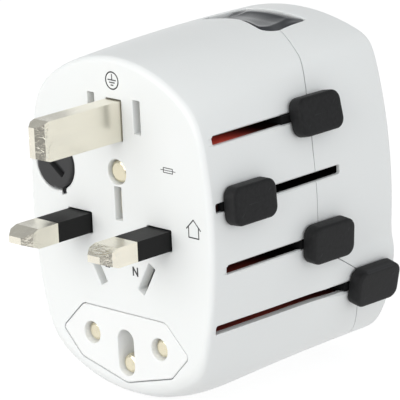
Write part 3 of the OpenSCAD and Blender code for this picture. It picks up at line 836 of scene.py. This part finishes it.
# ---------------------------------------------------------------- pin block
def pin_block():
    stations = ((-0.32, 0.0), (-0.2, 0.03), (-0.08, 0.12), (0, 0.35), (0, 19.0))    # (grow, y)
    block = loft("euro_block_body", [at_y(block_outline(grow), y) for grow, y in stations])
    boolean(block, [box((-8, 16.6, -18.4), (8, 19, -16.3))], "UNION")
    holes = [round_hole(s*EURO_X, EURO_Z, 2.2, depth=20, chamfer=0.3) for s in (-1, 1)]
    holes.append(rect_hole(0, -25.5, 4.4, 9.4, chamfer=0.3, radius=2.19, depth=20, steps=12))
    boolean(block, holes)
    crease(block, 32)
    # the flat front shades flat up to its edges
    mesh = block.data
    mesh.normals_split_custom_set([
        (0, -1, 0) if face.normal.y < -0.97
        and mesh.vertices[mesh.loops[loop].vertex_index].co.y < 0.00002 else (0, 0, 0)
        for face in mesh.polygons for loop in face.loop_indices])
    register(block, BLOCK_WHITE, "euro_block", "euro_block")


pin_block()


# ---------------------------------------------------------------- fuse cap
def fuse_cap():
    profile = [(0.6, -0.15), (2.5, -0.15), (4.2, -0.15), (4.62, -0.15), (4.85, -0.08),
               (4.99, 0.06), (5.05, 0.25), (5.05, 2.1), (4.3, 2.1), (4.3, 9.2)]     # (radius, y)
    cap = loft("fuse_cap_turner", [at_y(circle(FUSE_X, FUSE_Z, r, 72), y) for r, y in profile])
    lugs = [box((FUSE_X + s*4.3 - 0.4, 7.9, FUSE_Z - 1), (FUSE_X + s*4.3 + 0.45, 9.2, FUSE_Z + 1))
            for s in (-1, 1)]
    boolean(cap, lugs, "UNION")
    # a slanted coin slot with flared edges, and a bore from the rear
    flare = ((0.7, -0.75), (0.15, -0.2), (0.02, -0.02), (-0.05, 1.1))   # (grow, y)
    coin_slot = loft("coin_slot", [
        at_y(rounded_rect(FUSE_X, FUSE_Z, 6.2, 1.6, 0.25, grow, 36, 4), y) for grow, y in flare])
    boolean(cap, [coin_slot, cylinder(FUSE_X, FUSE_Z, 2.65, 4, 10)])
    crease(cap, 35)
    register(cap, CAP_GREY, "fuse_cap", "fuse_cap")


fuse_cap()

# ---------------------------------------------------------------- release button
# (share of the way in to the middle, height over the casing's crown)
BUTTON_PROFILE = [
    (0.0, -1.6), (0.006, -1.45), (0.02, -1.36), (0.05, -1.30), (0.12, -1.18), (0.2, -1.0),
    (0.27, -0.82), (0.31, -0.70), (0.335, -0.62), (0.355, -0.60), (0.38, -0.63), (0.43, -0.70),
    (0.5, -0.76), (0.6, -0.81), (0.75, -0.83), (0.88, -0.83), (0.97, -0.83),
]


def button_lift(x, y):
    """Raises the button's rear end and its rear corners."""
    return (0.45*smoothstep((y - 40.5)/4.5)
            + 0.35*smoothstep((abs(x) - 5.5)/3)*smoothstep((y - 40)/3.5)
            + 0.45*smoothstep((abs(x) - 6.5)/1.8)*smoothstep((y - 40)/3)
            + 0.45*smoothstep((y - 43.2)/2.4))


def release_button():
    fit_x, fit_y = 0.975, 0.955     # the button's size as a share of its opening
    rings = [[(x, y, 31.2) for x, y in button_outline(fit_x, fit_y)]]
    for share, height in BUTTON_PROFILE:
        ring = []
        for x, y in button_outline(fit_x*(1 - share), fit_y*(1 - 0.92*share)):
            # the outermost ring keeps its height
            rise = min(height + button_lift(x, y), -0.24) if height > -1.5 else height
            ring.append((x, y, skin_z(x, min(max(y, 33.5), 46.3)) + rise))
        rings.append(ring)
    button = loft("release_button_pad", rings)
    flange = loft("flange", [[(x, y, z) for x, y in rounded_rect(0, 39.8, 20.4, 13.2, 2)]
                             for z in (31.0, 32.1)])
    boolean(button, [flange], "UNION")
    crease(button, 40)
    register(button, GLOSS, "release_button", "release_button")


release_button()

# ---------------------------------------------------------------- pieces that keep their CAD solids
# (material, edge width, edge segments, least edge angle in degrees, pieces)
CAD_PIECES = [
    (NICKEL, 0.12, 3, 20, "uk_earth_pin uk_live_pin uk_neutral_pin"),
    (SLEEVE, 0.10, 2, 40, "uk_live_sleeve uk_neutral_sleeve"),
    (NICKEL, 0.10, 2, 20,
     "us_blade_left us_blade_right aus_blade_left aus_blade_right aus_earth_blade"),
    (NICKEL, 0.12, 3, 25, "us_earth_pin euro_pin_left euro_pin_right euro_earth_pin fuse_end_caps"),
    (BLACK, 0.15, 2, 40, "uk_carriage uk_carriage_arm us_carriage aus_carriage euro_carriage "
                         "euro_earth_slide fuse_holder socket_frame"),
    (STEEL, 0.08, 2, 40, "uk_bridge_strap latch_bar"),
    (CERAMIC, 0.15, 2, 40, "fuse_tube"),
    (BRASS, 0.08, 2, 40, "fuse_contact live_rail neutral_rail earth_rail socket_contact_live "
                         "socket_contact_neutral socket_contact_earth"),
    (SHUTTER, 0.15, 2, 40, "socket_shutter"),
    (ZINC, 0.15, 2, 40, "case_screws"),
]
for look, width, segments, degrees, pieces in CAD_PIECES:
    for piece in pieces.split():
        soften(nodes[piece], width, segments, degrees)
        assign(nodes[piece], look)
assign(nodes["fuse_spring"], SPRING)
for face in nodes["fuse_spring"].data.polygons:
    face.use_smooth = True


# ---------------------------------------------------------------- return springs
def return_spring(name, centre, base_z, radius, wire, length, turns):
    """An upright coil. wire is the wire's radius."""
    cx, cy = centre
    per_turn, around = 28, 10
    rings = []
    for i in range(per_turn*turns + 1):
        a = 2*math.pi*i/per_turn
        z = base_z + wire + (length - 2*wire)*i/(per_turn*turns)
        rings.append([(cx + (radius + wire*math.cos(b))*math.cos(a),
                       cy + (radius + wire*math.cos(b))*math.sin(a),
                       z + wire*math.sin(b))
                      for b in (2*math.pi*j/around for j in range(around))])
    coil = loft(f"{name}_coil", rings)
    register(coil, SPRING, "casing", name)
    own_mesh(coil)


return_spring("release_spring", (0, 43), base_z=27.02, radius=2.4, wire=0.35, length=3.95,
              turns=3)
return_spring("shutter_spring", (0, 46.5), base_z=-14.58, radius=1.8, wire=0.3, length=15.1,
              turns=6)


# ---------------------------------------------------------------- printed symbols on the plug face
def strokes(width, points, closed=False):
    """One thin bar for each span between (x, z) points."""
    out = []
    path = list(points) + ([points[0]] if closed else [])
    for (x0, z0), (x1, z1) in zip(path, path[1:]):
        along = Vector((x1 - x0, z1 - z0))
        along /= along.length
        side, end = Vector((-along.y, along.x))*width/2, along*width*0.35
        bar = [(x0 - end.x + side.x, z0 - end.y + side.y),
               (x1 + end.x + side.x, z1 + end.y + side.y),
               (x1 + end.x - side.x, z1 + end.y - side.y),
               (x0 - end.x - side.x, z0 - end.y - side.y)]
        out.append(loft("stroke", [at_y(bar, y) for y in (-0.015, 0.02)], False))
    return out


def earth_sign(x, z):
    bars = strokes(0.26, circle(x, z, 1.72, 40), closed=True)
    bars += strokes(0.24, [(x, z + 1.25), (x, z + 0.15)])
    for i, half in enumerate((1.05, 0.68, 0.3)):
        level = z + 0.12 - 0.52*i
        bars += strokes(0.24, [(x - half, level), (x + half, level)])
    return bars


def pin_letters():
    """N at +x and L at -x. Each stroke of a letter stands alone."""
    spans = [
        [(3.3, -8.8), (3.3, -7.2)], [(3.3, -7.2), (4.5, -8.8)], [(4.5, -8.8), (4.5, -7.2)],
        [(-4.4, -6.7), (-4.4, -8.3)], [(-4.4, -8.3), (-3.4, -8.3)],
    ]
    return [bar for span in spans for bar in strokes(0.36, span)]


def fuse_sign(x, z):
    return (strokes(0.17, rounded_rect(x, z, 2.5, 0.95, 0.05, steps=1), closed=True)
            + strokes(0.14, [(x - 2.0, z), (x + 2.0, z)]))


def house_sign(x, z):
    return (strokes(0.24, [(x - 1.9, z + 0.1), (x, z + 2.0), (x + 1.9, z + 0.1)])
            + strokes(0.24, [(x - 1.35, z + 0.55), (x - 1.35, z - 1.6),
                             (x + 1.35, z - 1.6), (x + 1.35, z + 0.55)]))


def face_symbols():
    bars = (earth_sign(-0.05, 30.05) + pin_letters() + fuse_sign(14.4, 14.2)
            + house_sign(20.7, 3.35))
    bm = bmesh.new()
    for bar in bars:
        bm.from_mesh(bar.data)
    mesh = bpy.data.meshes.new("face_symbols")
    bm.to_mesh(mesh)
    bm.free()
    for bar in bars:
        bpy.data.objects.remove(bar)
    symbols = bpy.data.objects.new("face_symbols", mesh)
    scene.collection.objects.link(symbols)
    assign(symbols, PRINT)
    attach(symbols, "casing")


face_symbols()


# ---------------------------------------------------------------- floor (metres from here on)
def floor_material():
    """A pale floor that camera, glossy and diffuse rays each see differently."""
    pale = bpy.data.materials.new("floor_pale")
    pale.use_nodes = True
    tree = pale.node_tree
    tree.nodes.clear()

    def glow(strength):
        return add_node(tree, "Emission", {"Strength": strength}).outputs[0]

    matt = add_node(tree, "BsdfDiffuse", {"Color": (0.30, 0.30, 0.30, 1)}).outputs[0]
    seen = add_node(tree, "AddShader", {0: matt, 1: glow(0.80)}).outputs[0]
    # reflections of the floor dim towards the viewer
    place = add_node(tree, "NewGeometry").outputs["Position"]
    nearness = add_node(tree, "VectorMath", {0: place, 1: (0.80, -0.60, 0)},
                        operation="DOT_PRODUCT").outputs["Value"]
    reflected = glow(map_range(tree, nearness, (0.06, 0.16), (1.0, 0.26)))
    rays = add_node(tree, "LightPath").outputs
    shown = add_node(tree, "MixShader", {0: rays["Is Glossy Ray"], 1: seen, 2: reflected})
    shown = add_node(tree, "MixShader", {0: rays["Is Diffuse Ray"], 1: shown.outputs[0],
                                         2: glow(0.66)})
    add_node(tree, "OutputMaterial", {0: shown.outputs[0]})
    return pale


def make_floor():
    mesh = bpy.data.meshes.new("floor")
    bm = bmesh.new()
    bmesh.ops.create_grid(bm, x_segments=1, y_segments=1, size=6.0)
    bm.to_mesh(mesh)
    bm.free()
    floor = bpy.data.objects.new("floor", mesh)
    scene.collection.objects.link(floor)
    lowest = min(v.co.z for shell in (front, rear) for v in shell.data.vertices)
    floor.location = (0, 0, lowest - 0.0002)
    mesh.materials.append(floor_material())


make_floor()


# ---------------------------------------------------------------- world, lights, camera
def make_world():
    world = bpy.data.worlds.new("w")
    scene.world = world
    world.use_nodes = True
    tree = world.node_tree
    background = tree.nodes["Background"]
    direction = add_node(tree, "TexCoord").outputs["Generated"]
    up = add_node(tree, "SeparateXYZ", {0: direction}).outputs["Z"]
    rays = add_node(tree, "LightPath").outputs
    light = map_range(tree, up, (0.0, 0.9), (0.85, 0.67))
    # seen straight on, the backdrop is pale and even
    seen = mix(tree, "FLOAT", rays["Is Camera Ray"], light, 1.05)
    # the sky is dimmer in reflections than it is as light
    reflected = map_range(tree, up, (0.0, 0.45), (0.85, 0.46))
    strength = mix(tree, "FLOAT", rays["Is Glossy Ray"], seen, reflected)
    tree.links.new(strength, background.inputs["Strength"])
    background.inputs["Color"].default_value = (0.975, 0.99, 1.0, 1)


def disk_light(name, place, size, power, colour=(1, 1, 1)):
    """A disk light aimed at the middle of the casing."""
    light = bpy.data.lights.new(name, "AREA")
    light.size = size
    light.energy = power
    light.color = colour
    light.shape = "DISK"
    lamp = bpy.data.objects.new(name, light)
    scene.collection.objects.link(lamp)
    lamp.location = place
    aim = Vector((0, 0.02, 0.0)) - Vector(place)
    lamp.rotation_euler = aim.to_track_quat("-Z", "Y").to_euler()


def make_camera():
    right = Vector((0.709067, 0.703771, -0.043933))
    up = Vector((-0.159586, 0.22085, 0.962163))
    back = Vector((0.686845, -0.675227, 0.268909))
    place = Vector((0.5535244, -0.5216993, 0.2175204))
    data = bpy.data.cameras.new("cam")
    camera = bpy.data.objects.new("cam", data)
    scene.collection.objects.link(camera)
    turn = Matrix((right, up, back)).transposed()
    camera.matrix_world = Matrix.Translation(place) @ turn.to_4x4()
    data.sensor_width = 36
    data.lens = 362.9178
    data.clip_start = 0.01
    data.clip_end = 20
    scene.camera = camera


make_world()
disk_light("key", (-0.05, -0.95, 0.25), size=1.2, power=7.7, colour=(1, 0.99, 0.968))
disk_light("top", (0.05, 0.1, 0.9), size=0.6, power=0.1)
disk_light("side", (0.85, -0.05, 0.12), size=0.7, power=1.5, colour=(0.95, 0.975, 1))
make_camera()
scene.view_settings.view_transform = "Standard"
